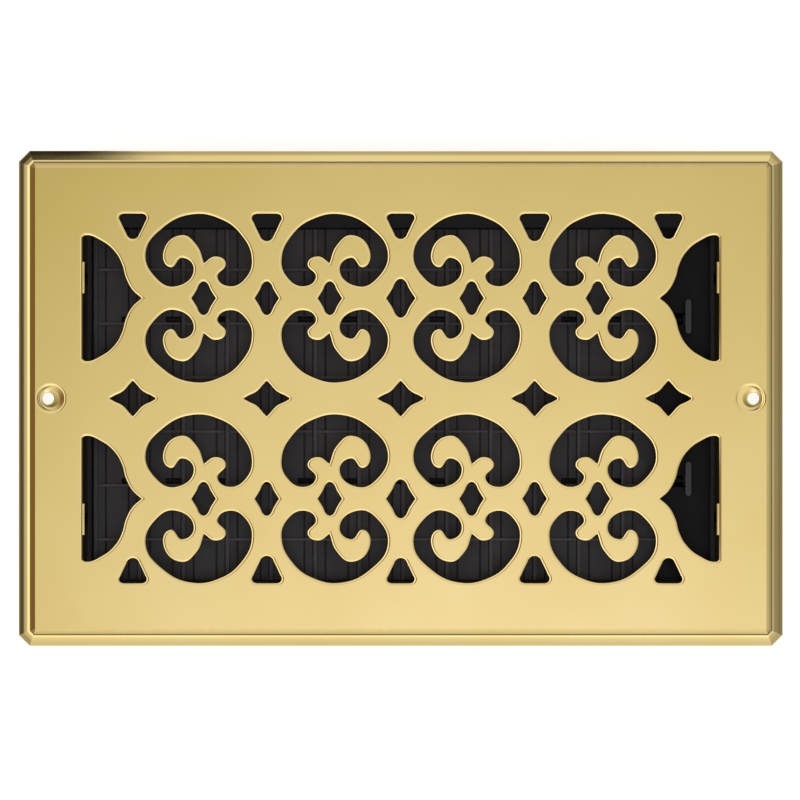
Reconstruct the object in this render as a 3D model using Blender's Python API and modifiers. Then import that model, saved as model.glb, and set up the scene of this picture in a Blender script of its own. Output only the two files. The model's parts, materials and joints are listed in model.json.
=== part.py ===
"""A pierced brass wall register with a louvred damper clipped behind it.

The face looks along -Y and +Z is up. The wall plane is y = 0 and the origin is the centre of the
wall opening, so the brass plate stands in front of the wall and the black damper reaches into the
duct behind it. Each louvre turns about its own upright journals, and two link bars with thumb
tabs turn all the louvres together.
"""

import math

import bmesh
import bpy
from mathutils import Matrix, Vector

# ---------------------------------------------------------------- driving dimensions, in metres

GAP = 0.0003  # between pieces that touch
RUNNING = 0.00035  # between pieces that slide or turn past each other

# Louvre bank
LOUVRE_COUNT = 13
LOUVRE_PITCH = 0.0172
LOUVRE_THICKNESS = 0.0012
LOUVRE_SWING = math.radians(80)
SPINE_RADIUS = 0.0012
BEAD_WIDTH = 0.0014
BEAD_HEIGHT = 0.0009
BEAD_OVERHANG = 0.0005
EDGE_LAP = 0.0005
GROOVE_OFFSET = 0.0045
GROOVE_WIDTH = 0.0008
GROOVE_DEPTH = 0.0004
CROSS_RIB_COUNT = 6
CROSS_RIB_PITCH = 0.0211
CROSS_RIB_HEIGHT = 0.0011

# Damper frame and box
DAMPER_HEIGHT = 0.148
SIDE_WALL = 0.0015
BOX_WALL = 0.0020
RAIL_HEIGHT = 0.0051
RAIL_DEPTH = 0.0050
JOURNAL_REACH = 0.0040
END_BAY = 0.0165
DAMPER_DROP = 0.0024  # the damper hangs this far below the plate's centre
PANEL_LAP = 0.0033
PANEL_THICKNESS = 0.0018
PANEL_SETBACK = 0.0032
SWING_CLEARANCE = 0.0008
BOX_TAIL = 0.0056

# Link bars and thumb tabs
TAB_TRAVEL = 0.0086
TAB_EDGE = 0.0084  # from the closed tab's centre to the inside of the end wall
TAB_WIDTH = 0.0023
TAB_HEIGHT = 0.0134
TAB_GRIP_DEPTH = 0.0026
TAB_NECK_HEIGHT = 0.0039
TAB_LIFT = 0.0010
LINK_RIB = 1  # the bars run beside this cross rib, counted from the top and from the bottom
LINK_RISE = 0.00175
LINK_THICKNESS = 0.0015
LINK_EDGE = 0.0012
CRANK_PIN_RADIUS = 0.0010
CRANK_BOSS_RADIUS = 0.0016
CRANK_THICKNESS = 0.0015
PIN_TAIL = 0.0008

# Faceplate
SHEET = 0.0010
PLATE_DEPTH = 0.0060
SIDE_MARGIN = 0.02525  # from the pierced field to the plate's edge, left and right
END_MARGIN = 0.0244  # the same, top and bottom
CORNER_FLAT = 0.0003  # what is left of each cut corner at the flat face, inside the rim
RIM_LIP = 0.0008
RIM_STEPS = ((0.0019, 0.0024), (0.0024, 0.0018), (0.0026, 0.0010))
SCREW_MARGIN = 0.0134  # from the pierced field to each screw hole
SCREW_HOLE_RADIUS = 0.0023
DIMPLE_RADIUS = 0.0057
DIMPLE_FLOOR_RADIUS = 0.0037
DIMPLE_DEPTH = 0.0012

# Lugs bent back from the plate, which clip over nibs on the damper box
LUG_GAP = 0.0010
LUG_THICKNESS = 0.0012
LUG_EDGE = 0.0010
LUG_HEIGHT = 0.0122
LUG_OFFSET = 0.0080
LUG_TAIL = 0.0036
NIB_DEPTH = 0.0018
NIB_HEIGHT = 0.0040
NIB_SETBACK = 0.0006
NIB_GRIP = 0.0007

# The pierced pattern is drawn for a field of this size and stretched to the real one
DRAWN_HALF_WIDTH = 0.1240
DRAWN_HALF_HEIGHT = 0.0723
FIELD_INSET = 0.0017  # how far the field lies inside the damper, top and bottom
COLUMN_PITCH = 0.05215
ROW_HEIGHT = 0.03905
CELL_COLUMNS = ((-0.07675, 1), (-0.0276, -1), (0.0276, 1), (0.07675, -1))

# ---------------------------------------------------------------- sizes that follow

LOUVRE_HALF = LOUVRE_PITCH / 2
BEAD_LEFT = -LOUVRE_HALF - BEAD_OVERHANG
BEAD_RIGHT = BEAD_LEFT + BEAD_WIDTH
PLATE_LEFT = BEAD_RIGHT - GAP
LIP_RIGHT = LOUVRE_PITCH + PLATE_LEFT - GAP
PLATE_RIGHT = LOUVRE_PITCH + BEAD_LEFT - RUNNING
LOUVRE_BACK = -SPINE_RADIUS + LOUVRE_THICKNESS - 0.0001
LOUVRE_FRONT = LOUVRE_BACK - LOUVRE_THICKNESS
BEAD_FRONT = LOUVRE_FRONT - BEAD_HEIGHT
TIP_RADIUS = math.hypot(BEAD_LEFT, BEAD_FRONT)

DAMPER_HALF_WIDTH = (2 * SIDE_WALL + RUNNING + BEAD_OVERHANG + LOUVRE_COUNT * LOUVRE_PITCH + END_BAY) / 2
DAMPER_HALF_HEIGHT = DAMPER_HEIGHT / 2
INNER_HALF_WIDTH = DAMPER_HALF_WIDTH - SIDE_WALL
RAIL_EDGE = DAMPER_HALF_HEIGHT - RAIL_HEIGHT
BANK_LEFT = -INNER_HALF_WIDTH + RUNNING + BEAD_OVERHANG
BANK_RIGHT = BANK_LEFT + LOUVRE_COUNT * LOUVRE_PITCH
LOUVRE_END = RAIL_EDGE - GAP
JOURNAL_END = RAIL_EDGE + JOURNAL_REACH - GAP

PLATE_FRONT_Y = -PLATE_DEPTH
PLATE_BACK_Y = PLATE_FRONT_Y + SHEET
FRAME_FRONT_Y = PLATE_BACK_Y + GAP
AXIS_Y = PLATE_BACK_Y + TIP_RADIUS + SWING_CLEARANCE
FRAME_BACK_Y = AXIS_Y - GAP / 2
BOX_FRONT_Y = AXIS_Y + GAP / 2
PANEL_FRONT_Y = FRAME_FRONT_Y + PANEL_SETBACK

CRANK_RADIUS = TAB_TRAVEL / (2 * math.sin(LOUVRE_SWING / 2))
CRANK_X = CRANK_RADIUS * math.sin(LOUVRE_SWING / 2)
CRANK_Y = CRANK_RADIUS * math.cos(LOUVRE_SWING / 2)
SLOT_RADIUS = CRANK_PIN_RADIUS + GAP
LINK_FRONT_Y = AXIS_Y + CRANK_Y - CRANK_PIN_RADIUS - RUNNING - LINK_EDGE
LINK_BACK_Y = AXIS_Y + CRANK_RADIUS + CRANK_PIN_RADIUS + RUNNING + LINK_EDGE
BOX_BACK_Y = LINK_BACK_Y + BOX_TAIL
NOTCH_HALF = LINK_THICKNESS / 2 + RUNNING
TAB_X = INNER_HALF_WIDTH - TAB_EDGE

LUG_INNER_X = DAMPER_HALF_WIDTH + LUG_GAP
FIELD_HALF_WIDTH = LUG_INNER_X + LUG_EDGE
FIELD_HALF_HEIGHT = DAMPER_HALF_HEIGHT - FIELD_INSET
STRETCH_X = FIELD_HALF_WIDTH / DRAWN_HALF_WIDTH
STRETCH_Z = FIELD_HALF_HEIGHT / DRAWN_HALF_HEIGHT
LUG_Z = STRETCH_Z * ROW_HEIGHT + LUG_OFFSET
PLATE_HALF_WIDTH = FIELD_HALF_WIDTH + SIDE_MARGIN
PLATE_HALF_HEIGHT = FIELD_HALF_HEIGHT + END_MARGIN
RIM_WIDTH = sum(inset for inset, rise in RIM_STEPS)
CORNER_CUT = (CORNER_FLAT + 2 * math.tan(math.radians(22.5)) * RIM_WIDTH) / math.sqrt(2)
SCREW_X = FIELD_HALF_WIDTH + SCREW_MARGIN
NIB_FRONT_Y = BOX_FRONT_Y + NIB_SETBACK
NIB_BACK_Y = NIB_FRONT_Y + NIB_DEPTH
LUG_BACK_Y = NIB_BACK_Y + RUNNING + LUG_TAIL - NIB_DEPTH

CROSS_RIBS = [
    (row - (CROSS_RIB_COUNT - 1) / 2) * CROSS_RIB_PITCH for row in range(CROSS_RIB_COUNT)
]
LINKS = {
    "upper": CROSS_RIBS[CROSS_RIB_COUNT - 1 - LINK_RIB] + LINK_RISE,
    "lower": CROSS_RIBS[LINK_RIB] + LINK_RISE,
}
LOUVRE_XS = [BANK_LEFT + (number + 0.5) * LOUVRE_PITCH for number in range(LOUVRE_COUNT)]


# ---------------------------------------------------------------- scene, collections, materials

def clear_scene():
    for thing in list(bpy.data.objects):
        bpy.data.objects.remove(thing, do_unlink=True)


def new_collection(name):
    made = bpy.data.collections.new(name)
    bpy.context.scene.collection.children.link(made)
    return made


def new_material(name, colour, roughness, metallic):
    made = bpy.data.materials.new(name)
    made.use_nodes = True
    shader = made.node_tree.nodes["Principled BSDF"]
    shader.inputs["Base Color"].default_value = (*colour, 1)
    shader.inputs["Roughness"].default_value = roughness
    shader.inputs["Metallic"].default_value = metallic
    return made


clear_scene()
PARTS = new_collection("wall_register")
HELPERS = new_collection("cutters")
BRASS = new_material("polished_brass", (0.83, 0.66, 0.29), 0.18, 1.0)
FRAME_BLACK = new_material("frame_black", (0.030, 0.028, 0.029), 0.50, 0.0)
BOX_BLACK = new_material("box_black", (0.026, 0.025, 0.026), 0.55, 0.0)
LOUVRE_BLACK = new_material("louvre_black", (0.034, 0.031, 0.033), 0.48, 0.0)
LINK_BLACK = new_material("link_black", (0.030, 0.030, 0.031), 0.45, 0.0)
TAB_BLACK = new_material("tab_black", (0.045, 0.044, 0.046), 0.40, 0.0)


# ---------------------------------------------------------------- modelling helpers

def object_of(name, mesh, collection=HELPERS):
    made = bpy.data.objects.new(name, mesh)
    collection.objects.link(made)
    if collection == HELPERS:
        made.hide_render = True
        made.display_type = "WIRE"
    return made


def mesh_of(name, shape):
    """The bmesh as a mesh, with its faces turned outwards."""
    bmesh.ops.recalc_face_normals(shape, faces=shape.faces)
    mesh = bpy.data.meshes.new(name)
    shape.to_mesh(mesh)
    shape.free()
    return mesh


def add_block(shape, low, high):
    size = [b - a for a, b in zip(low, high)]
    middle = [(a + b) / 2 for a, b in zip(low, high)]
    place = Matrix.Translation(middle) @ Matrix.Diagonal((*size, 1))
    return bmesh.ops.create_cube(shape, size=1, matrix=place)["verts"]


def add_upright_rod(shape, x, y, low_z, high_z, radius, sides):
    place = Matrix.Translation((x, y, (low_z + high_z) / 2))
    bmesh.ops.create_cone(
        shape, cap_ends=True, segments=sides, radius1=radius, radius2=radius,
        depth=high_z - low_z, matrix=place,
    )


def add_facing_cone(shape, x, z, front_y, back_y, front_radius, back_radius, sides):
    """A cone frustum whose axis runs along Y."""
    turn = Matrix.Rotation(math.radians(-90), 4, "X")
    place = Matrix.Translation((x, (front_y + back_y) / 2, z)) @ turn
    bmesh.ops.create_cone(
        shape, cap_ends=True, segments=sides, radius1=front_radius, radius2=back_radius,
        depth=back_y - front_y, matrix=place,
    )


def blocks(name, *pairs):
    """Separate blocks in one helper object, each given by its lowest and highest corners."""
    shape = bmesh.new()
    for low, high in pairs:
        add_block(shape, low, high)
    return object_of(name, mesh_of(name, shape))


def replace_mesh(thing):
    """Puts what the modifiers make in place of the object's own mesh."""
    graph = bpy.context.evaluated_depsgraph_get()
    made = bpy.data.meshes.new_from_object(thing.evaluated_get(graph))
    thing.modifiers.clear()
    thing.data = made


def combine(thing, other, operation):
    """Cuts the other shape from this one, or joins it on, and removes the other."""
    cut = thing.modifiers.new(operation.lower(), "BOOLEAN")
    cut.operation = operation
    cut.solver = "EXACT"
    cut.object = other
    replace_mesh(thing)
    bpy.data.objects.remove(other, do_unlink=True)


def extruded(name, outlines, thickness, upright):
    """A solid from flat outlines. Each outline is (knots, steps), and a knot is (x, z, is it a corner).

    An upright shape faces -Y and is centred on y = 0. Any other lies in XY, centred on z = 0.
    """
    curve = bpy.data.curves.new(name, "CURVE")
    curve.dimensions = "2D"
    curve.fill_mode = "BOTH"
    curve.extrude = thickness / 2
    for knots, steps in outlines:
        spline = curve.splines.new("BEZIER")
        spline.bezier_points.add(len(knots) - 1)
        spline.use_cyclic_u = True
        spline.resolution_u = steps
        for point, (x, z, is_corner) in zip(spline.bezier_points, knots):
            point.co = (x, z, 0)
            kind = "VECTOR" if is_corner else "AUTO"
            point.handle_left_type = kind
            point.handle_right_type = kind
    guide = bpy.data.objects.new(name, curve)
    HELPERS.objects.link(guide)
    if upright:
        guide.rotation_euler = (math.radians(90), 0, 0)
    bpy.context.view_layer.update()
    graph = bpy.context.evaluated_depsgraph_get()
    mesh = bpy.data.meshes.new_from_object(guide.evaluated_get(graph))
    mesh.transform(guide.matrix_world)
    bpy.data.objects.remove(guide, do_unlink=True)
    shape = bmesh.new()
    shape.from_mesh(mesh)
    bmesh.ops.remove_doubles(shape, verts=shape.verts, dist=0.000001)
    return object_of(name, mesh_of(name, shape))


def rectangle(half_width, half_height):
    corners = [(-1, -1), (1, -1), (1, 1), (-1, 1)]
    return [(sx * half_width, sz * half_height, True) for sx, sz in corners], 1


def capsule(start, end, radius, steps_round):
    """The outline of a stadium from start to end, its two ends half circles."""
    along = (Vector(end) - Vector(start)).normalized()
    across = Vector((-along.y, along.x))
    knots = []
    for centre, sign in ((Vector(end), 1), (Vector(start), -1)):
        for step in range(steps_round + 1):
            angle = math.pi * step / steps_round
            point = centre + sign * radius * (math.sin(angle) * along - math.cos(angle) * across)
            knots.append((point.x, point.y, True))
    return knots, 1


def shift(thing, x=0, y=0, z=0):
    thing.data.transform(Matrix.Translation((x, y, z)))


def finish(thing, name, material, sharp_degrees=30):
    """Moves a finished piece from the helpers to the object's own collection."""
    thing.name = name
    thing.data.name = name
    HELPERS.objects.unlink(thing)
    PARTS.objects.link(thing)
    thing.hide_render = False
    thing.display_type = "TEXTURED"
    thing.data.materials.clear()
    thing.data.materials.append(material)
    thing.data.shade_smooth()
    thing.data.set_sharp_from_angle(angle=math.radians(sharp_degrees))
    return thing


# ---------------------------------------------------------------- faceplate

# Every outline below is drawn in metres about its own centre. The last value marks a sharp corner.

SCROLL = [
    (-0.0226, 0.0178, False), (-0.0160, 0.0274, False), (-0.0045, 0.0327, False),
    (0.0068, 0.0308, False), (0.0143, 0.0252, False), (0.0188, 0.0156, False),
    (0.0168, 0.0083, False), (0.0103, 0.0046, False), (0.0054, 0.0080, False),
    (0.0086, 0.0137, False), (0.0047, 0.0162, False), (0.0001, 0.0136, True),
    (-0.0027, 0.0205, False), (-0.0086, 0.0245, False), (-0.0157, 0.0176, False),
    (-0.0130, 0.0121, False), (-0.0083, 0.0158, False), (-0.0038, 0.0112, False),
    (-0.0113, 0.0045, False), (-0.0188, 0.0081, False),
]
STAR_QUARTER = [(0.00885, 0, False), (0.0079, 0.0008, False), (0.0039, 0.0029, False), (0.0009, 0.0061, False)]
STAR_TOP = (0, 0.00685, False)
LOZENGE_QUARTER = [(0.0048, 0, True), (0.0028, 0.0032, False), (0.0013, 0.0060, False)]
LOZENGE_TOP = (0, 0.0066, False)
TRIANGLE_SIDE = [
    (0.0018, -0.0095, False), (0.0027, -0.0079, False), (0.0047, -0.0037, False),
    (0.0054, -0.0020, False), (0.0049, -0.0008, False), (0.0037, -0.0003, True),
]
TRIANGLE_TIP = (0, -0.01024, False)
END_HOLE_SIDE = [
    (-0.0196, 0.0033, False), (-0.0170, 0.0081, False), (-0.0156, 0.0131, False),
    (-0.0129, 0.0180, False), (-0.0076, 0.0224, False), (-0.0010, 0.0245, False),
]
END_HOLE_TIP = (-0.0232, 0, True)
MIDDLE_LOZENGE_SCALE = (1.19, 1.15)
OUTER_TRIANGLE_SCALE = 1.08


def four_ways(quarter, top):
    """A closed outline from the knots between +X and +Z, mirrored both ways. The first knot is on +X."""
    side = quarter[0]
    rising = quarter[1:]
    knots = [side, *rising, top]
    knots += [(-x, z, corner) for x, z, corner in reversed(rising)]
    knots += [(-side[0], side[1], side[2])]
    knots += [(-x, -z, corner) for x, z, corner in rising]
    knots += [(top[0], -top[1], top[2])]
    knots += [(x, -z, corner) for x, z, corner in reversed(rising)]
    return knots


def placed(knots, x, z, scale_x=1.0, scale_z=1.0):
    """The knots scaled about their own centre, moved, and stretched with the field."""
    return [
        (STRETCH_X * (x + scale_x * kx), STRETCH_Z * (z + scale_z * kz), corner)
        for kx, kz, corner in knots
    ]


def pattern_outlines():
    outlines = []
    star = four_ways(STAR_QUARTER, STAR_TOP)
    lozenge = four_ways(LOZENGE_QUARTER, LOZENGE_TOP)
    mirrored = [(-x, z, corner) for x, z, corner in reversed(TRIANGLE_SIDE)]
    triangle = [TRIANGLE_TIP, *TRIANGLE_SIDE, *mirrored]
    lower_side = [(x, -z, corner) for x, z, corner in reversed(END_HOLE_SIDE)]
    end_hole = [END_HOLE_TIP, *END_HOLE_SIDE, (0, 0.0237, True), (0, -0.0237, True), *lower_side]
    for column in range(-2, 3):
        x = column * COLUMN_PITCH
        outlines.append((placed(star, x, 0), 2))
        grown = OUTER_TRIANGLE_SCALE if abs(column) == 1 else 1.0
        for side in (1, -1):
            outlines.append((placed(triangle, x, side * DRAWN_HALF_HEIGHT, grown, side * grown), 2))
    for side in (1, -1):
        row = side * ROW_HEIGHT
        outlines.append((placed(lozenge, 0, row, *MIDDLE_LOZENGE_SCALE), 1))
        for x in (-COLUMN_PITCH, COLUMN_PITCH):
            outlines.append((placed(lozenge, x, row), 1))
        for x, facing in CELL_COLUMNS:
            outlines.append((placed(lozenge, x, row), 1))
            for up in (1, -1):
                outlines.append((placed(SCROLL, x, row, facing, up), 3))
        for end in (1, -1):
            outlines.append((placed(end_hole, end * DRAWN_HALF_WIDTH, row, end, 1), 2))
    return outlines


def pressed_sheet():
    """The plate before it is pierced: a flat face with a stepped rim that turns back to the wall."""
    shape = bmesh.new()
    add_block(
        shape,
        (-PLATE_HALF_WIDTH, -RIM_LIP, -PLATE_HALF_HEIGHT),
        (PLATE_HALF_WIDTH, 0, PLATE_HALF_HEIGHT),
    )
    corners = [e for e in shape.edges if abs(e.verts[0].co.y - e.verts[1].co.y) > RIM_LIP / 2]
    bmesh.ops.bevel(
        shape, geom=corners, offset=CORNER_CUT, offset_type="OFFSET", segments=1,
        affect="EDGES", clamp_overlap=False,
    )
    shape.normal_update()
    back = [f for f in shape.faces if f.normal.y > 0.9]
    bmesh.ops.delete(shape, geom=back, context="FACES_ONLY")
    for inset, rise in RIM_STEPS:
        shape.normal_update()
        front = [f for f in shape.faces if f.normal.y < -0.999]
        front.sort(key=lambda f: f.calc_area())
        bmesh.ops.inset_region(
            shape, faces=front[-1:], thickness=inset, depth=rise, use_boundary=True,
            use_even_offset=True,
        )
    mesh = bpy.data.meshes.new("pressed_sheet")
    shape.to_mesh(mesh)
    shape.free()
    sheet = object_of("pressed_sheet", mesh)
    wall = sheet.modifiers.new("sheet", "SOLIDIFY")
    wall.thickness = SHEET
    wall.offset = -1
    wall.use_even_offset = True
    replace_mesh(sheet)
    return sheet


def lug(side, row):
    """One lug, bent back at the straight edge of an end hole, with the window that takes a nib."""
    inner = LUG_INNER_X
    outer = inner + LUG_THICKNESS
    middle_z = row * LUG_Z
    shape = bmesh.new()
    add_block(
        shape,
        (inner, PLATE_FRONT_Y + SHEET / 2, middle_z - LUG_HEIGHT / 2),
        (outer, LUG_BACK_Y, middle_z + LUG_HEIGHT / 2),
    )
    bend = [
        e for e in shape.edges
        if all(v.co.x < inner + SHEET / 10 and v.co.y < PLATE_BACK_Y for v in e.verts)
    ]
    bmesh.ops.bevel(
        shape, geom=bend, offset=SHEET * 0.6, offset_type="OFFSET", segments=2, profile=0.5,
        affect="EDGES",
    )
    made = object_of("lug", mesh_of("lug", shape))
    window = blocks(
        "window",
        (
            (inner - SHEET, NIB_FRONT_Y - RUNNING, middle_z - NIB_HEIGHT / 2 - RUNNING),
            (outer + SHEET, NIB_BACK_Y + RUNNING, middle_z + NIB_HEIGHT / 2 + RUNNING),
        ),
    )
    combine(made, window, "DIFFERENCE")
    if side < 0:
        made.data.transform(Matrix.Scale(-1, 4, (1, 0, 0)))
        made.data.flip_normals()
    return made


def build_faceplate():
    plate = pressed_sheet()
    bump = bmesh.new()
    slope = (DIMPLE_RADIUS - DIMPLE_FLOOR_RADIUS) / DIMPLE_DEPTH
    root = SHEET / 3
    for x in (-SCREW_X, SCREW_X):
        add_facing_cone(
            bump, x, 0, PLATE_BACK_Y - root, PLATE_BACK_Y + DIMPLE_DEPTH,
            DIMPLE_RADIUS + slope * root, DIMPLE_FLOOR_RADIUS, 24,
        )
    combine(plate, object_of("bump", mesh_of("bump", bump)), "UNION")
    dish = bmesh.new()
    for x in (-SCREW_X, SCREW_X):
        add_facing_cone(
            dish, x, 0, PLATE_FRONT_Y - root, PLATE_FRONT_Y + DIMPLE_DEPTH,
            DIMPLE_RADIUS + slope * root, DIMPLE_FLOOR_RADIUS, 24,
        )
    combine(plate, object_of("dish", mesh_of("dish", dish)), "DIFFERENCE")
    bore = bmesh.new()
    for x in (-SCREW_X, SCREW_X):
        add_facing_cone(bore, x, 0, PLATE_FRONT_Y - SHEET, 0, SCREW_HOLE_RADIUS, SCREW_HOLE_RADIUS, 16)
    combine(plate, object_of("bore", mesh_of("bore", bore)), "DIFFERENCE")
    punch = extruded("punch", pattern_outlines(), 4 * SHEET, upright=True)
    shift(punch, y=(PLATE_FRONT_Y + PLATE_BACK_Y) / 2)
    combine(plate, punch, "DIFFERENCE")
    for side in (-1, 1):
        for row in (-1, 1):
            combine(plate, lug(side, row), "UNION")
    return finish(plate, "faceplate", BRASS, sharp_degrees=20)


# ---------------------------------------------------------------- damper frame and box

def journal_holes():
    """Cutters for the journals' bearings, shared by the frame and the box."""
    shape = bmesh.new()
    for x in LOUVRE_XS:
        for side in (1, -1):
            low, high = sorted((side * (RAIL_EDGE - GAP), side * (RAIL_EDGE + JOURNAL_REACH)))
            add_upright_rod(shape, x, AXIS_Y, low, high, SPINE_RADIUS + GAP, 8)
    return object_of("journal_holes", mesh_of("journal_holes", shape))


def ring(name, front_y, back_y, inner_half_width, inner_half_height):
    """A rectangular tube with the damper's outer size."""
    outlines = [
        rectangle(DAMPER_HALF_WIDTH, DAMPER_HALF_HEIGHT),
        rectangle(inner_half_width, inner_half_height),
    ]
    made = extruded(name, outlines, back_y - front_y, upright=True)
    shift(made, y=(front_y + back_y) / 2)
    return made


def build_front_frame():
    frame = ring("front_frame", FRAME_FRONT_Y, FRAME_BACK_Y, INNER_HALF_WIDTH, RAIL_EDGE)
    panel = blocks(
        "panel",
        (
            (BANK_RIGHT - PANEL_LAP, PANEL_FRONT_Y, -RAIL_EDGE - GAP),
            (INNER_HALF_WIDTH + GAP, PANEL_FRONT_Y + PANEL_THICKNESS, RAIL_EDGE + GAP),
        ),
    )
    combine(frame, panel, "UNION")
    slot_half = TAB_NECK_HEIGHT / 2 + RUNNING
    slots = blocks(
        "slots",
        *[
            (
                (TAB_X - TAB_TRAVEL - TAB_WIDTH / 2 - RUNNING, PANEL_FRONT_Y - SHEET, z - slot_half),
                (TAB_X + TAB_WIDTH / 2 + RUNNING, PANEL_FRONT_Y + 2 * PANEL_THICKNESS, z + slot_half),
            )
            for z in LINKS.values()
        ],
    )
    combine(frame, slots, "DIFFERENCE")
    combine(frame, journal_holes(), "DIFFERENCE")
    shift(frame, z=-DAMPER_DROP)
    return finish(frame, "front_frame", FRAME_BLACK)


def build_damper_box():
    box = ring("damper_box", BOX_FRONT_Y, BOX_BACK_Y, INNER_HALF_WIDTH, DAMPER_HALF_HEIGHT - BOX_WALL)
    rails = ring("rails", BOX_FRONT_Y, BOX_FRONT_Y + RAIL_DEPTH, INNER_HALF_WIDTH, RAIL_EDGE)
    combine(box, rails, "UNION")
    combine(box, journal_holes(), "DIFFERENCE")
    reach = LUG_INNER_X + NIB_GRIP
    for side in (-1, 1):
        for row in (-1, 1):
            low_x, high_x = sorted((side * (DAMPER_HALF_WIDTH - SIDE_WALL / 2), side * reach))
            middle = row * LUG_Z + DAMPER_DROP
            nib = blocks(
                "nib",
                (
                    (low_x, NIB_FRONT_Y, middle - NIB_HEIGHT / 2),
                    (high_x, NIB_BACK_Y, middle + NIB_HEIGHT / 2),
                ),
            )
            combine(box, nib, "UNION")
    shift(box, z=-DAMPER_DROP)
    return finish(box, "damper_box", BOX_BLACK)


# ---------------------------------------------------------------- louvres

def louvre_section():
    """The louvre's outline in plan, about its pivot: a plate with a bead, two grooves and a lapped edge."""
    bead_back = LOUVRE_BACK - EDGE_LAP - RUNNING
    points = [(BEAD_LEFT, bead_back), (BEAD_LEFT, BEAD_FRONT), (BEAD_RIGHT, BEAD_FRONT), (BEAD_RIGHT, LOUVRE_FRONT)]
    for middle in (-GROOVE_OFFSET, GROOVE_OFFSET):
        left = middle - GROOVE_WIDTH / 2
        right = middle + GROOVE_WIDTH / 2
        points += [(left, LOUVRE_FRONT), (middle, LOUVRE_FRONT + GROOVE_DEPTH), (right, LOUVRE_FRONT)]
    points += [(PLATE_RIGHT, LOUVRE_FRONT), (PLATE_RIGHT, LOUVRE_BACK - EDGE_LAP)]
    points += [(LIP_RIGHT, LOUVRE_BACK - EDGE_LAP), (LIP_RIGHT, LOUVRE_BACK)]
    points += [(PLATE_LEFT, LOUVRE_BACK), (PLATE_LEFT, bead_back)]
    return [(x, y, True) for x, y in points], 1


def louvre_mesh():
    louvre = extruded("louvre", [louvre_section()], 2 * LOUVRE_END, upright=False)
    spine = bmesh.new()
    add_upright_rod(spine, 0, 0, -JOURNAL_END, JOURNAL_END, SPINE_RADIUS, 8)
    combine(louvre, object_of("spine", mesh_of("spine", spine)), "UNION")
    root = GROOVE_DEPTH + GAP / 3
    half = CROSS_RIB_HEIGHT / 2
    ribs = blocks(
        "ribs",
        *[
            (
                (BEAD_RIGHT - GAP, BEAD_FRONT + GAP / 3, z - half),
                (PLATE_RIGHT - GAP / 3, LOUVRE_FRONT + root, z + half),
            )
            for z in CROSS_RIBS
        ],
    )
    combine(louvre, ribs, "UNION")
    notches = blocks(
        "notches",
        *[
            (
                (SPINE_RADIUS + 2 * GAP, 2 * BEAD_FRONT, z - NOTCH_HALF),
                (2 * LOUVRE_HALF, -2 * BEAD_FRONT, z + NOTCH_HALF),
            )
            for z in LINKS.values()
        ],
    )
    combine(louvre, notches, "DIFFERENCE")
    for z in LINKS.values():
        crank = extruded(
            "crank", [capsule((0, 0), (CRANK_X, CRANK_Y), CRANK_BOSS_RADIUS, 3)],
            CRANK_THICKNESS, upright=False,
        )
        top = z - NOTCH_HALF
        shift(crank, z=top - CRANK_THICKNESS / 2)
        # The crank's round foot stops behind the face of the louvre.
        foot = blocks(
            "foot",
            (
                (-LOUVRE_HALF, -2 * LOUVRE_HALF, top - 2 * CRANK_THICKNESS),
                (LOUVRE_HALF, LOUVRE_BACK - LOUVRE_THICKNESS / 2, top + CRANK_THICKNESS),
            ),
        )
        combine(crank, foot, "DIFFERENCE")
        combine(louvre, crank, "UNION")
        pin = bmesh.new()
        add_upright_rod(
            pin, CRANK_X, CRANK_Y, top - CRANK_THICKNESS / 2,
            z + LINK_THICKNESS / 2 + PIN_TAIL, CRANK_PIN_RADIUS, 8,
        )
        combine(louvre, object_of("pin", mesh_of("pin", pin)), "UNION")
    return louvre


def build_louvres():
    pattern = finish(louvre_mesh(), "louvre_01", LOUVRE_BLACK)
    for number, x in enumerate(LOUVRE_XS, start=1):
        louvre = pattern
        if number > 1:
            louvre = bpy.data.objects.new(f"louvre_{number:02d}", pattern.data)
            PARTS.objects.link(louvre)
        louvre.location = (x, AXIS_Y, -DAMPER_DROP)


# ---------------------------------------------------------------- link bars and thumb tabs

def build_link(name, z):
    """A flat strip with a slot for each crank pin and a hole for the thumb tab's peg."""
    first = LOUVRE_XS[0] + CRANK_X
    left = first - SLOT_RADIUS - LINK_EDGE
    right = TAB_X + TAB_WIDTH / 2
    bar = blocks(
        name,
        (
            (left, LINK_FRONT_Y, z - LINK_THICKNESS / 2),
            (right, LINK_BACK_Y, z + LINK_THICKNESS / 2),
        ),
    )
    straight_low = AXIS_Y + CRANK_Y + GAP - RUNNING
    straight_high = AXIS_Y + CRANK_RADIUS + RUNNING - GAP
    outlines = [
        capsule((x + CRANK_X, straight_low), (x + CRANK_X, straight_high), SLOT_RADIUS, 3)
        for x in LOUVRE_XS
    ]
    slots = extruded("slots", outlines, 3 * LINK_THICKNESS, upright=False)
    shift(slots, z=z)
    combine(bar, slots, "DIFFERENCE")
    shift(bar, z=-DAMPER_DROP)
    return finish(bar, name, LINK_BLACK)


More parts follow.
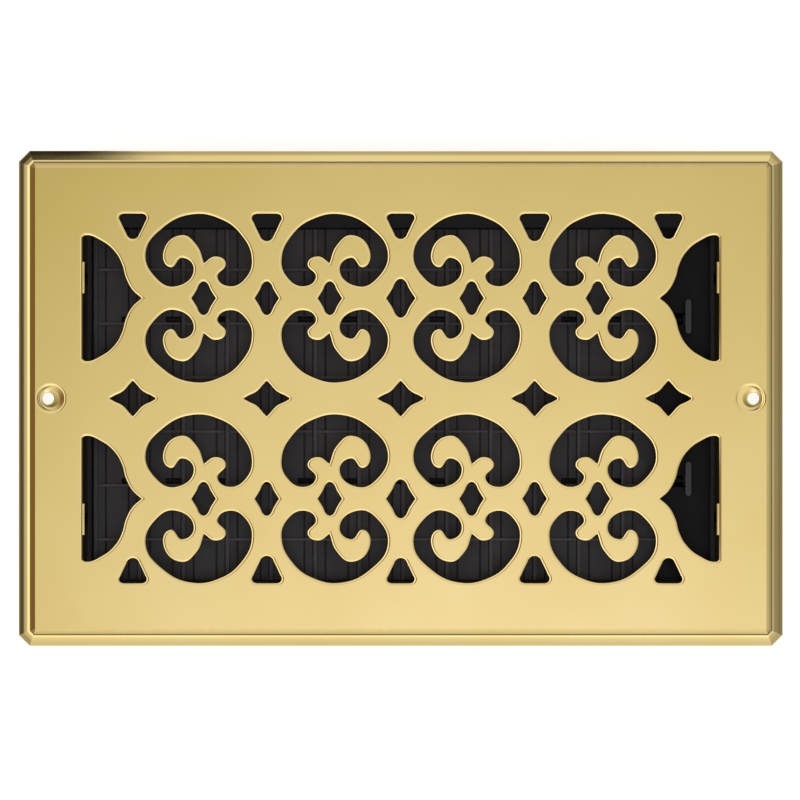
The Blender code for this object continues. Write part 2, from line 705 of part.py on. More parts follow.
def build_tab(name, z):
    """A thumb tab: a round-ended grip in front of the panel, and a forked neck that holds the bar's end."""
    grip_middle = z + TAB_LIFT
    straight = TAB_HEIGHT / 2 - TAB_WIDTH / 2
    outline = capsule((TAB_X, grip_middle - straight), (TAB_X, grip_middle + straight), TAB_WIDTH / 2, 6)
    grip_back = PANEL_FRONT_Y - GAP
    tab = extruded(name, [outline], TAB_GRIP_DEPTH, upright=True)
    shift(tab, y=grip_back - TAB_GRIP_DEPTH / 2)
    neck_end = (LINK_FRONT_Y + LINK_BACK_Y) / 2
    neck = blocks(
        "neck",
        (
            (TAB_X - TAB_WIDTH / 2 + GAP / 2, grip_back - TAB_GRIP_DEPTH / 2, z - TAB_NECK_HEIGHT / 2),
            (TAB_X + TAB_WIDTH / 2 - GAP / 2, neck_end, z + TAB_NECK_HEIGHT / 2),
        ),
    )
    combine(tab, neck, "UNION")
    fork = blocks(
        "fork",
        (
            (TAB_X - TAB_WIDTH, LINK_FRONT_Y - GAP, z - LINK_THICKNESS / 2 - GAP),
            (TAB_X + TAB_WIDTH, neck_end + LINK_EDGE, z + LINK_THICKNESS / 2 + GAP),
        ),
    )
    combine(tab, fork, "DIFFERENCE")
    shift(tab, z=-DAMPER_DROP)
    return finish(tab, name, TAB_BLACK)


# ---------------------------------------------------------------- assembly

build_faceplate()
build_front_frame()
build_damper_box()
build_louvres()
for level, height in LINKS.items():
    build_link(f"control_bar_{level}", height)
    build_tab(f"thumb_tab_{level}", height)
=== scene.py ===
# %% [markdown]
# # A pierced brass wall register
#
# This lesson dresses a register: a brass plate pierced with scrolls, and behind it a black damper of
# upright louvres that two thumb tabs turn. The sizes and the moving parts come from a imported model,
# which stays as it is. The lesson adds what the eye wants to see: rounded edges where the punch went
# through, a pressed rim, the grain of the brass and the sheen of moulded plastic.

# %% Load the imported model
import json
import math

import bmesh
import bpy
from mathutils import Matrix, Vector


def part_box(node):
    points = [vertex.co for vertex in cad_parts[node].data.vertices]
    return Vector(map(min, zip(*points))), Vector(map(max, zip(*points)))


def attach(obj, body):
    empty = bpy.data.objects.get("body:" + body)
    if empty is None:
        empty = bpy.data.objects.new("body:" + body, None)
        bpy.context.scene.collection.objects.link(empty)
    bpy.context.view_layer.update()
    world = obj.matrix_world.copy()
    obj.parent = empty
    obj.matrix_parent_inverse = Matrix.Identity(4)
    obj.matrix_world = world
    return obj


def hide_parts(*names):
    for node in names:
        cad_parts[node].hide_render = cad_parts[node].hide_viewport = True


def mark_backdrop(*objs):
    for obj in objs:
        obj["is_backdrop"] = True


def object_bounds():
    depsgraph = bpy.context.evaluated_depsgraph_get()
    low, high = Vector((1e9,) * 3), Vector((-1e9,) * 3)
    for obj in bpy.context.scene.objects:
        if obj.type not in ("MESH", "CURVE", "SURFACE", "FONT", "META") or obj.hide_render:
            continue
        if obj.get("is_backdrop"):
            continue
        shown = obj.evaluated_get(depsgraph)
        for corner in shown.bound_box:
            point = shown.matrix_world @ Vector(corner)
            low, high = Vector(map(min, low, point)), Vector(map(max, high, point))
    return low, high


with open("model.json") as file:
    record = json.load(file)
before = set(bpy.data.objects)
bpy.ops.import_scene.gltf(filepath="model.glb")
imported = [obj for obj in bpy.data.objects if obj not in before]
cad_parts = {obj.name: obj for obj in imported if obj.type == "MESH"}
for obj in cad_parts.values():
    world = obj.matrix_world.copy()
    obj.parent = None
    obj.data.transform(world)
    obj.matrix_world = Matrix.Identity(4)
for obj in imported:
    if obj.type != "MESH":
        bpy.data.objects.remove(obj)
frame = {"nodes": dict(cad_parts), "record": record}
cad_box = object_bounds()
LOW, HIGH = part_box("faceplate")
print("plate, in mm:", [round(1000 * side, 2) for side in HIGH - LOW])

# %% [markdown]
# ## Working with operators from code
#
# An operator acts on whatever is selected, as if a hand had clicked it. So each step first selects
# one object alone, and in edit mode it picks vertices, edges or faces by where they are. Four small
# helpers are enough for most of the lesson. Places are compared within a hundredth of a millimetre,
# or more closely where rings of points lie near each other.

# %% Helpers for selecting, moving and modifiers
UPRIGHT_TURN = (math.radians(90), 0, 0)
NEAR = 1e-5
SAME_POINT = 2e-6
SAME_LEVEL = 1e-6


def only(thing):
    """Leaves object mode's selection on this object alone, and makes it the active one."""
    bpy.ops.object.select_all(action="DESELECT")
    thing.select_set(True)
    bpy.context.view_layer.objects.active = thing
    return thing


def pick(thing, kind, passes):
    """In edit mode, selects each vertex, edge or face that passes, and counts them."""
    bpy.ops.mesh.select_mode(type=kind)
    bpy.ops.mesh.select_all(action="DESELECT")
    shape = bmesh.from_edit_mesh(thing.data)
    items = {"VERT": shape.verts, "EDGE": shape.edges, "FACE": shape.faces}[kind]
    chosen = [item for item in items if passes(item)]
    for item in chosen:
        item.select_set(True)
    bmesh.update_edit_mesh(thing.data)
    return len(chosen)


def settle():
    """Puts the active object's place, turn and size into its mesh."""
    bpy.ops.object.transform_apply(location=True, rotation=True, scale=True)


def finish_with(thing, kind, **settings):
    """Adds one modifier with these settings and applies it."""
    only(thing)
    added = thing.modifiers.new(kind.lower(), kind)
    for name, value in settings.items():
        setattr(added, name, value)
    bpy.ops.object.modifier_apply(modifier=added.name)


print("places match within", 1000 * NEAR, "mm")

# %% [markdown]
# ## The plate's sizes
#
# The plate is one sheet, a millimetre thick. Its rim is pressed back to the wall in three facets,
# and its corners are cut. The pierced field in the middle leaves a margin on each side. All of it is
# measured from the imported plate's own box, so the picture and the model agree.

# %% Sizes of the plate
SHEET = 0.0010
HALF_WIDTH = HIGH.x
HALF_HEIGHT = HIGH.z
FRONT = LOW.y
BACK = FRONT + SHEET
RIM_LIP = 0.0008
RIM_STEPS = ((0.0019, 0.0024), (0.0024, 0.0018), (0.0026, 0.0010))
RIM_WIDTH = sum(inset for inset, rise in RIM_STEPS)
CORNER_FLAT = 0.0003
CORNER_SHRINK = 2 - math.sqrt(2)
CORNER_CUT = CORNER_FLAT / math.sqrt(2) + CORNER_SHRINK * RIM_WIDTH
SIDE_MARGIN = 0.02525
TOP_MARGIN = 0.0244
FIELD_HALF_WIDTH = HALF_WIDTH - SIDE_MARGIN
FIELD_HALF_HEIGHT = HALF_HEIGHT - TOP_MARGIN
print("field, in mm:", round(2000 * FIELD_HALF_WIDTH, 2), "by", round(2000 * FIELD_HALF_HEIGHT, 2))

# %% [markdown]
# ## Drawing the pierced pattern
#
# A punch made the real holes, so their outlines are smooth curves that meet in sharp cusps. Bezier
# knots suit them: a soft knot lets the curve flow through it, and a corner knot breaks it. Each
# outline is drawn once about its own centre and then placed, so the four scrolls round each small
# lozenge are the same scroll, turned over.

# %% The outlines, in metres
SCROLL = [
    (-0.0226, 0.0178, False), (-0.0160, 0.0274, False), (-0.0045, 0.0327, False),
    (0.0068, 0.0308, False), (0.0143, 0.0252, False), (0.0188, 0.0156, False),
    (0.0168, 0.0083, False), (0.0103, 0.0046, False), (0.0054, 0.0080, False),
    (0.0086, 0.0137, False), (0.0047, 0.0162, False), (0.0001, 0.0136, True),
    (-0.0027, 0.0205, False), (-0.0086, 0.0245, False), (-0.0157, 0.0176, False),
    (-0.0130, 0.0121, False), (-0.0083, 0.0158, False), (-0.0038, 0.0112, False),
    (-0.0113, 0.0045, False), (-0.0188, 0.0081, False),
]
STAR_QUARTER = [
    (0.00885, 0, False), (0.0079, 0.0008, False), (0.0039, 0.0029, False), (0.0009, 0.0061, False),
]
STAR_TOP = (0, 0.00685, False)
LOZENGE_QUARTER = [(0.0048, 0, True), (0.0028, 0.0032, False), (0.0013, 0.0060, False)]
LOZENGE_TOP = (0, 0.0066, False)
TRIANGLE_SIDE = [
    (0.0018, -0.0095, False), (0.0027, -0.0079, False), (0.0047, -0.0037, False),
    (0.0054, -0.0020, False), (0.0049, -0.0008, False), (0.0037, -0.0003, True),
]
TRIANGLE_TIP = (0, -0.01024, False)
END_HOLE_SIDE = [
    (-0.0196, 0.0033, False), (-0.0170, 0.0081, False), (-0.0156, 0.0131, False),
    (-0.0129, 0.0180, False), (-0.0076, 0.0224, False), (-0.0010, 0.0245, False),
]
END_HOLE_TIP = (-0.0232, 0, True)
END_HOLE_CORNER = 0.0237
print("the scroll has", len(SCROLL), "knots")


# %% Placing the outlines over the field
DRAWN_HALF_WIDTH = 0.1240
DRAWN_HALF_HEIGHT = 0.0723
COLUMN_PITCH = 0.05215
ROW_HEIGHT = 0.03905
CELL_COLUMNS = ((-0.07675, 1), (-0.0276, -1), (0.0276, 1), (0.07675, -1))
INNER_TRIANGLE = 1.08
MIDDLE_LOZENGE = (1.19, 1.15)
STRETCH_X = FIELD_HALF_WIDTH / DRAWN_HALF_WIDTH
STRETCH_Z = FIELD_HALF_HEIGHT / DRAWN_HALF_HEIGHT


def four_ways(quarter, top):
    """A closed outline from the knots between +X and +Z, mirrored both ways."""
    side, rising = quarter[0], quarter[1:]
    knots = [side, *rising, top]
    knots += [(-x, z, corner) for x, z, corner in reversed(rising)]
    knots += [(-side[0], side[1], side[2])]
    knots += [(-x, -z, corner) for x, z, corner in rising]
    knots += [(top[0], -top[1], top[2])]
    return knots + [(x, -z, corner) for x, z, corner in reversed(rising)]


def placed(knots, x, z, scale_x=1.0, scale_z=1.0):
    """The outline moved to its place in the field, grown or turned over by the two scales."""
    return [
        (STRETCH_X * (x + scale_x * kx), STRETCH_Z * (z + scale_z * kz), corner)
        for kx, kz, corner in knots
    ]


def holes_of_the_field():
    """Every pierced outline of the field."""
    holes = []
    star = four_ways(STAR_QUARTER, STAR_TOP)
    lozenge = four_ways(LOZENGE_QUARTER, LOZENGE_TOP)
    mirrored = [(-x, z, corner) for x, z, corner in reversed(TRIANGLE_SIDE)]
    triangle = [TRIANGLE_TIP, *TRIANGLE_SIDE, *mirrored]
    lower_side = [(x, -z, corner) for x, z, corner in reversed(END_HOLE_SIDE)]
    corners = [(0, side * END_HOLE_CORNER, True) for side in (1, -1)]
    end_hole = [END_HOLE_TIP, *END_HOLE_SIDE, *corners, *lower_side]
    for column in range(-2, 3):
        x = column * COLUMN_PITCH
        holes.append(placed(star, x, 0))
        grown = INNER_TRIANGLE if abs(column) == 1 else 1.0
        for side in (1, -1):
            holes.append(placed(triangle, x, side * DRAWN_HALF_HEIGHT, grown, side * grown))
    for side in (1, -1):
        row = side * ROW_HEIGHT
        holes.append(placed(lozenge, 0, row, *MIDDLE_LOZENGE))
        for x in (-COLUMN_PITCH, COLUMN_PITCH):
            holes.append(placed(lozenge, x, row))
        for x, facing in CELL_COLUMNS:
            holes.append(placed(lozenge, x, row))
            for up in (1, -1):
                holes.append(placed(SCROLL, x, row, facing, up))
        for end in (1, -1):
            holes.append(placed(end_hole, end * DRAWN_HALF_WIDTH, row, end, 1))
    return holes


HOLES = holes_of_the_field()
print(len(HOLES), "holes in the field")

# %% [markdown]
# ## The pierced sheet
#
# A flat curve with a fill makes a sheet with holes in one step, and its bevel rounds both arrises of
# every hole. Cutting with Booleans would give square arrises that catch no light. On polished brass
# the bright line round each hole is what tells the eye that the metal has a thickness.
#
# The sheet's outer outline is the octagon inside the rim. The bevel would round that one too, so its
# wall is taken off again afterwards, and the rim is joined there.

# %% Draw the sheet as one filled curve
ARRIS = 0.00085
ROLL_SLOPE = 21
CHAMFER_SLOPE = 33
ARRIS_STEPS = 3
HALF_WALL = 0.00005
SEAM = 0.00005
SMOOTHNESS = 9
SCREW_MARGIN = 0.0134
SCREW_X = FIELD_HALF_WIDTH + SCREW_MARGIN
SLIP = 0.0012
DISH_X = SCREW_X - SLIP
DISH_RADIUS = 0.0052


def octagon(inset):
    """The plate's outline at this inset from its edge, with the cut corners."""
    wide, high = HALF_WIDTH - inset, HALF_HEIGHT - inset
    cut = CORNER_CUT - CORNER_SHRINK * inset
    return [
        (wide - cut, high), (-wide + cut, high), (-wide, high - cut), (-wide, -high + cut),
        (-wide + cut, -high), (wide - cut, -high), (wide, -high + cut), (wide, high - cut),
    ]


def draw(curve, knots, steps):
    """Adds one closed outline to a flat curve."""
    spline = curve.splines.new("BEZIER")
    spline.bezier_points.add(len(knots) - 1)
    spline.use_cyclic_u = True
    spline.resolution_u = steps
    for point, (x, z, corner) in zip(spline.bezier_points, knots):
        point.co = (x, z, 0)
        point.handle_left_type = point.handle_right_type = "VECTOR" if corner else "AUTO"


def circle_knots(x, radius):
    return [
        (x + radius * math.cos(turn), radius * math.sin(turn), False)
        for turn in (math.pi * step / 4 for step in range(8))
    ]


drawing = bpy.data.curves.new("pierced_sheet", "CURVE")
drawing.dimensions = "2D"
drawing.fill_mode = "BOTH"
drawing.bevel_depth = ARRIS
drawing.bevel_resolution = ARRIS_STEPS - 1
drawing.extrude = HALF_WALL
drawing.offset = -ARRIS
draw(drawing, [(x, z, True) for x, z in octagon(RIM_WIDTH + SEAM - ARRIS)], 1)
for knots in HOLES:
    draw(drawing, knots, SMOOTHNESS)
for side in (-1, 1):
    draw(drawing, circle_knots(side * DISH_X, DISH_RADIUS), SMOOTHNESS)
sheet = bpy.data.objects.new("pierced_sheet", drawing)
bpy.context.scene.collection.objects.link(sheet)
sheet.rotation_euler = UPRIGHT_TURN
sheet.location = (0, FRONT + SHEET / 2, 0)
only(sheet)
bpy.ops.object.convert(target="MESH")
settle()
print("sheet:", len(sheet.data.polygons), "faces")

# %% [markdown]
# A round arris would be too even. The punch draws the metal down a little before it shears, so each
# edge first rolls over gently and then breaks more steeply. The curve's bevel has made rings of
# points on each face, and each ring only has to move to its new depth. The rings already moved wait
# a metre away, so that none is picked twice. This also brings the sheet to its true thickness.

# %% Give the arris two slopes
turns = [math.pi / 2 * step / ARRIS_STEPS for step in range(ARRIS_STEPS + 1)]
widths = [ARRIS * math.sin(turn) for turn in turns]
slopes = [ROLL_SLOPE] + [CHAMFER_SLOPE] * (ARRIS_STEPS - 1)
depths = [0.0]
for near, far, slope in zip(widths, widths[1:], slopes):
    depths.append(depths[-1] + (far - near) * math.tan(math.radians(slope)))
ROLL_DEPTH = depths[1]
MIDDLE = FRONT + SHEET / 2
AWAY = 1.0
only(sheet)
bpy.ops.object.mode_set(mode="EDIT")
moved_points = 0
for face in (-1, 1):
    for turn, depth in zip(turns, depths):
        now = MIDDLE + face * (HALF_WALL + ARRIS * math.cos(turn))
        wanted = MIDDLE + face * (SHEET / 2 - depth)
        moved_points += pick(sheet, "VERT", lambda vertex: abs(vertex.co.y - now) < SAME_POINT)
        bpy.ops.transform.translate(value=(0, wanted - now + face * AWAY, 0))
for face in (-1, 1):
    pick(sheet, "VERT", lambda vertex: face * (vertex.co.y - MIDDLE) > AWAY / 2)
    bpy.ops.transform.translate(value=(0, -face * AWAY, 0))
bpy.ops.object.mode_set(mode="OBJECT")
print("moved", moved_points, "points; the arris is", round(1000 * depths[-1], 2), "mm deep")

# %% Take the wall off the sheet's outer edge
EDGE_SLACK = ARRIS / 20


def beyond_octagon(point, inset):
    """How far a point lies outside the octagon at this inset; negative inside it."""
    wide, high = HALF_WIDTH - inset, HALF_HEIGHT - inset
    cut = CORNER_CUT - CORNER_SHRINK * inset
    x, z = abs(point.x), abs(point.z)
    return max(x - wide, z - high, (x + z - wide - high + cut) / math.sqrt(2))


def on_outer_wall(face):
    inset = RIM_WIDTH + SEAM
    return all(beyond_octagon(vertex.co, inset) > -EDGE_SLACK for vertex in face.verts)


only(sheet)
bpy.ops.object.mode_set(mode="EDIT")
bpy.ops.mesh.select_all(action="SELECT")
bpy.ops.mesh.remove_doubles(threshold=SAME_POINT)
gone = pick(sheet, "FACE", on_outer_wall)
bpy.ops.mesh.delete(type="FACE")
bpy.ops.mesh.select_all(action="SELECT")
bpy.ops.mesh.normals_make_consistent(inside=False)
bpy.ops.object.mode_set(mode="OBJECT")
print("outer wall:", gone, "faces taken off")

# %% [markdown]
# ## The pressed rim
#
# On the real plate a press folds the margin back to the wall. Here one plane becomes the rim: its
# corners are cut by a vertex bevel, its edge is drawn out for the lip, and three insets with a depth
# make the facets. The folds of sheet metal are never quite sharp, so they get a small bevel. Solidify
# then gives the sheet its thickness.

# %% Press the rim from a plane
LIP_FOLD = 0.0005
FOLD = 0.0009


def is_back_of_plane(face):
    return abs(face.normal.y) > 0.99 and face.calc_center_median().y > -RIM_LIP / 2


bpy.ops.object.select_all(action="DESELECT")
bpy.ops.mesh.primitive_plane_add(size=1, rotation=UPRIGHT_TURN)
rim = bpy.context.object
rim.name = "rim"
rim.scale = (2 * HALF_WIDTH, 2 * HALF_HEIGHT, 1)
settle()
bpy.ops.object.mode_set(mode="EDIT")
bpy.ops.mesh.select_all(action="SELECT")
bpy.ops.mesh.bevel(offset=CORNER_CUT, offset_type="OFFSET", segments=1, affect="VERTICES")
bpy.ops.mesh.select_all(action="SELECT")
bpy.ops.mesh.extrude_region_move(TRANSFORM_OT_translate={"value": (0, -RIM_LIP, 0)})
for inset, rise in RIM_STEPS:
    bpy.ops.mesh.inset(thickness=inset, depth=rise, use_boundary=True, use_even_offset=True)
pick(rim, "FACE", is_back_of_plane)
bpy.ops.mesh.delete(type="ONLY_FACE")
level = -RIM_LIP
folds = 0
for fold, rise in ((LIP_FOLD, 0), (FOLD, RIM_STEPS[0][1]), (FOLD, RIM_STEPS[1][1])):
    level -= rise
    folds += pick(rim, "EDGE", lambda edge: all(abs(v.co.y - level) < NEAR for v in edge.verts))
    bpy.ops.mesh.bevel(offset=fold, offset_type="OFFSET", segments=6, affect="EDGES")
bpy.ops.object.mode_set(mode="OBJECT")
finish_with(rim, "SOLIDIFY", thickness=SHEET, offset=-1, use_even_offset=True)
print("rim:", folds, "edges folded,", [round(1000 * side, 2) for side in rim.dimensions])

# %% Join the rim and the sheet
def is_middle(face):
    return abs(face.normal.y) > 0.999 and face.calc_area() > HALF_WIDTH * HALF_HEIGHT


only(rim)
bpy.ops.object.mode_set(mode="EDIT")
middles = pick(rim, "FACE", is_middle)
bpy.ops.mesh.delete(type="FACE")
bpy.ops.object.mode_set(mode="OBJECT")
plate = only(rim)
sheet.select_set(True)
bpy.ops.object.join()
bpy.ops.object.mode_set(mode="EDIT")
for level in (FRONT, BACK):
    loops = pick(
        plate, "EDGE",
        lambda edge: edge.is_boundary and abs(edge.verts[0].co.y - level) < SHEET / 4,
    )
    bpy.ops.mesh.bridge_edge_loops()
    print("bridged", loops, "edges at", round(1000 * level, 2), "mm")
left_open = pick(plate, "EDGE", lambda edge: len(edge.link_faces) != 2)
bpy.ops.mesh.select_all(action="SELECT")
bpy.ops.mesh.normals_make_consistent(inside=False)
bpy.ops.object.mode_set(mode="OBJECT")
print(middles, "middle faces replaced;", left_open, "edges left open")

# %% [markdown]
# ## The screw dimples
#
# Each screw hole sits in a round dish pressed into the margin. A dish is a turned shape, so it is
# made as on a lathe: one ring of points is drawn out and resized, again and again, down the cone,
# over the floor, through the hole and back along the underside. The punch slipped a little, so the
# rings also drift outwards on their way down to the hole.

# %% Turn the two dimples
DIMPLE_DEPTH = 0.0012
SCREW_HOLE_RADIUS = 0.0023
ROUND = 72
COLLAR = DISH_RADIUS + 0.0002
FLOOR_FRONT = FRONT + DIMPLE_DEPTH
FLOOR_BACK = BACK + DIMPLE_DEPTH
DISH = [
    (COLLAR, FRONT + 0.0006, 0), (COLLAR, FRONT + 0.00040, 0), (0.0050, FRONT + 0.00052, 0.1),
    (0.0046, FRONT + 0.00072, 0.2), (0.0042, FRONT + 0.00090, 0.35),
    (0.0037, FRONT + 0.00106, 0.5), (0.0032, FRONT + 0.00117, 0.7), (0.0028, FLOOR_FRONT, 0.9),
    (0.00255, FLOOR_FRONT + 0.00003, 1), (0.00238, FLOOR_FRONT + 0.00012, 1),
    (SCREW_HOLE_RADIUS, FLOOR_FRONT + 0.0003, 1), (SCREW_HOLE_RADIUS, FLOOR_BACK, 1),
    (0.0037, FLOOR_BACK, 0.5), (COLLAR, BACK, 0),
]


def turned(name, x, slip, profile):
    """Draws one ring of points through (radius, depth, share of the slip), closed on itself."""
    radius, depth, moved = profile[0]
    bpy.ops.object.select_all(action="DESELECT")
    bpy.ops.mesh.primitive_circle_add(
        vertices=ROUND, radius=radius, location=(x, depth, 0), rotation=UPRIGHT_TURN,
    )
    made = bpy.context.object
    made.name = name
    settle()
    bpy.ops.object.mode_set(mode="EDIT")
    bpy.ops.mesh.select_all(action="SELECT")
    for wider, deeper, share in profile[1:]:
        step = ((share - moved) * slip, deeper - depth, 0)
        bpy.ops.mesh.extrude_region_move(TRANSFORM_OT_translate={"value": step})
        grow = wider / radius
        centre = (x + share * slip, deeper, 0)
        bpy.ops.transform.resize(value=(grow, 1, grow), center_override=centre)
        radius, depth, moved = wider, deeper, share
    pick(made, "EDGE", lambda edge: edge.is_boundary)
    bpy.ops.mesh.bridge_edge_loops()
    bpy.ops.mesh.select_all(action="SELECT")
    bpy.ops.mesh.normals_make_consistent(inside=False)
    bpy.ops.object.mode_set(mode="OBJECT")
    return made


dimples = [turned(f"dimple_{side}", side * DISH_X, side * SLIP, DISH) for side in (-1, 1)]
print("each dimple:", len(dimples[0].data.polygons), "faces")

# %% [markdown]
# ## The lugs
#
# Four lugs bend back from the straight sides of the end holes and clip over nibs on the black box.
# Each is a bent strip with a window. The bend is a bevel on the strip's front edge, and the window is
# cut with a second block.

# %% Bend the four lugs
LUG_THICKNESS = 0.0012
LUG_OVERHANG = 0.0010
LUG_INNER_X = FIELD_HALF_WIDTH - LUG_OVERHANG
LUG_OFF_ROW = 0.0080
LUG_Z = STRETCH_Z * ROW_HEIGHT + LUG_OFF_ROW
LUG_HEIGHT = 0.0122
LUG_SOFTNESS = 0.00012
BEND_SHARE = 0.6
NIB_HEIGHT = 0.0040
NIB_SETBACK = 0.0006
NIB_DEPTH = 0.0018
box_low, box_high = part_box("damper_box")
NIB_FRONT = box_low.y + NIB_SETBACK
NIB_BACK = NIB_FRONT + NIB_DEPTH
RUNNING = 0.00035


def block(low, high):
    """A block between two corners, made from the cube primitive."""
    bpy.ops.object.select_all(action="DESELECT")
    middle = [(a + b) / 2 for a, b in zip(low, high)]
    bpy.ops.mesh.primitive_cube_add(size=1, location=middle)
    made = bpy.context.object
    made.scale = [b - a for a, b in zip(low, high)]
    settle()
    return made


def bent_lug(side, row):
    """One lug: a strip with a window, bent at its front edge."""
    z = row * LUG_Z
    ends = sorted((side * LUG_INNER_X, side * (LUG_INNER_X + LUG_THICKNESS)))
    lug = block((ends[0], MIDDLE, z - LUG_HEIGHT / 2), (ends[1], HIGH.y, z + LUG_HEIGHT / 2))
    window = block(
        (ends[0] - SHEET, NIB_FRONT - RUNNING, z - NIB_HEIGHT / 2 - RUNNING),
        (ends[1] + SHEET, NIB_BACK + RUNNING, z + NIB_HEIGHT / 2 + RUNNING),
    )
    finish_with(lug, "BOOLEAN", operation="DIFFERENCE", solver="EXACT", object=window)
    bpy.data.objects.remove(window, do_unlink=True)
    only(lug)
    bpy.ops.object.mode_set(mode="EDIT")
    pick(lug, "EDGE", lambda edge: all(
        abs(v.co.x - side * LUG_INNER_X) < NEAR and v.co.y < BACK for v in edge.verts))
    bpy.ops.mesh.bevel(offset=SHEET * BEND_SHARE, segments=5, affect="EDGES")
    bpy.ops.object.mode_set(mode="OBJECT")
    finish_with(
        lug, "BEVEL", width=LUG_SOFTNESS, segments=2, limit_method="ANGLE",
        angle_limit=math.radians(50),
    )
    return lug


lugs = [bent_lug(side, row) for side in (-1, 1) for row in (-1, 1)]
print("lugs:", len(lugs), "of", len(lugs[0].data.polygons), "faces")

# %% [markdown]
# ## One faceplate
#
# The plate, the dimples and the lugs are one piece of brass, so they are joined into one object. Its
# large flat front has to stay flat in the light. Smooth shading would bend the light across the long
# triangles beside each arris, so the edges between the flat faces and the arrises are marked sharp,
# and so is the line where an arris changes slope. So are the mitres, where the rim's long sides meet,
# because one bent corner would otherwise bend the light along the whole side.

# %% Join and shade the faceplate
plate = only(plate)
for extra in (*dimples, *lugs):
    extra.select_set(True)
bpy.ops.object.join()
plate.name = "pierced_faceplate"
plate.data.name = "pierced_faceplate"
bpy.ops.object.shade_smooth_by_angle(angle=math.radians(32))


def edge_of_flat(edge):
    """Between a flat face and one that isn't."""
    flats = [abs(face.normal.y) > 0.99999 for face in edge.link_faces]
    return any(flats) and not all(flats)


def is_mitre(edge):
    """On an edge that runs down the rim where two of its sides meet."""
    ends = [vertex.co for vertex in edge.verts]
    on_rim = all(beyond_octagon(end, RIM_WIDTH) > -EDGE_SLACK for end in ends)
    return on_rim and abs(ends[0].y - ends[1].y) > SAME_LEVEL


def where_slope_changes(edge):
    return all(abs(v.co.y - FRONT - ROLL_DEPTH) < SAME_LEVEL for v in edge.verts)


bpy.ops.object.mode_set(mode="EDIT")
marked = 0
for wanted in (edge_of_flat, is_mitre, where_slope_changes):
    marked += pick(plate, "EDGE", wanted)
    bpy.ops.mesh.mark_sharp()
bpy.ops.object.mode_set(mode="OBJECT")
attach(plate, "register")
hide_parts("faceplate")
print("faceplate:", len(plate.data.polygons), "faces,", marked, "sharp edges")

# %% [markdown]
# ## Softened plastic
#
# Moulded plastic has no knife edges, because the tool's corners are rounded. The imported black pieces
# have the right shape with sharp edges, so each is copied and given a bevel of about a tenth of a
# millimetre. The copy's loose triangles are merged first, so that the bevel finds the real edges.
# Weighted normals then keep the broad faces flat in the light, and only the bevels turn it.

# %% Copy and soften each black piece
BODIES = frame["record"]["behaviour"]["bodies"]
SLOTS = {part["node"]: part["material_slot"] for part in frame["record"]["subparts"]}
BODY_OF = {node: body for body, nodes in BODIES.items() for node in nodes}
EDGE_SOFTNESS = {
    "front_frame": 0.00020, "damper_box": 0.00020, "louvre": 0.00009, "control": 0.00012,
    "thumb": 0.00030,
}


def softened(node, width):
    """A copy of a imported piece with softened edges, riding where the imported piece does."""
    source = frame["nodes"][node]
    piece = bpy.data.objects.new("soft_" + node, source.data.copy())
    bpy.context.scene.collection.objects.link(piece)
    only(piece)
    bpy.ops.object.mode_set(mode="EDIT")
    bpy.ops.mesh.select_all(action="SELECT")
    bpy.ops.mesh.remove_doubles(threshold=SAME_POINT)
    bpy.ops.object.mode_set(mode="OBJECT")
    finish_with(
        piece, "BEVEL", width=width, segments=2, limit_method="ANGLE",
        angle_limit=math.radians(40), use_clamp_overlap=True,
    )
    bpy.ops.object.shade_smooth_by_angle(angle=math.radians(35))
    finish_with(piece, "WEIGHTED_NORMAL", weight=100, keep_sharp=True)
    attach(piece, BODY_OF[node])
    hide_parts(node)
    return piece


black_pieces = {}
for node in sorted(BODY_OF):
    if node == "faceplate":
        continue
    width = next(size for start, size in EDGE_SOFTNESS.items() if node.startswith(start))
    black_pieces[node] = softened(node, width)
faces = sum(len(piece.data.polygons) for piece in black_pieces.values())
print(len(black_pieces), "black pieces,", faces, "faces")

# %% [markdown]
# ## Surface effects as node groups
#
# Both finishes need fine variation, at different scales. Three small groups make it: a grain that can
# be stretched along one direction, a broad mottling, and a mask for sharp edges. The brass uses that
# mask for a duller line where the lacquer thins, and the plastic uses it for a painted highlight. Each
# puts out a plain value, and the material decides what it changes.

# %% Build the groups
def new_group(name, inputs, outputs):
    """An empty shader group with number or vector inputs and number outputs."""
    made = bpy.data.node_groups.new(name, "ShaderNodeTree")
    for label, kind, value in inputs:
        socket = made.interface.new_socket(label, in_out="INPUT", socket_type=kind)
        socket.default_value = value
    for label in outputs:
        made.interface.new_socket(label, in_out="OUTPUT", socket_type="NodeSocketFloat")
    start = made.nodes.new("NodeGroupInput")
    end = made.nodes.new("NodeGroupOutput")
    return made, start, end


def grain_group():
    made, start, end = new_group(
        "stretched_grain",
        [("Stretch", "NodeSocketVector", (1, 1, 1)), ("Scale", "NodeSocketFloat", 100.0)],
        ["Grain"],
    )
    place = made.nodes.new("ShaderNodeTexCoord")
    stretch = made.nodes.new("ShaderNodeVectorMath")
    stretch.operation = "MULTIPLY"
    noise = made.nodes.new("ShaderNodeTexNoise")
    noise.inputs["Detail"].default_value = 3
    noise.inputs["Roughness"].default_value = 0.6
    made.links.new(place.outputs["Object"], stretch.inputs[0])
    made.links.new(start.outputs["Stretch"], stretch.inputs[1])
    made.links.new(stretch.outputs[0], noise.inputs["Vector"])
    made.links.new(start.outputs["Scale"], noise.inputs["Scale"])
    made.links.new(noise.outputs["Fac"], end.inputs["Grain"])
    return made


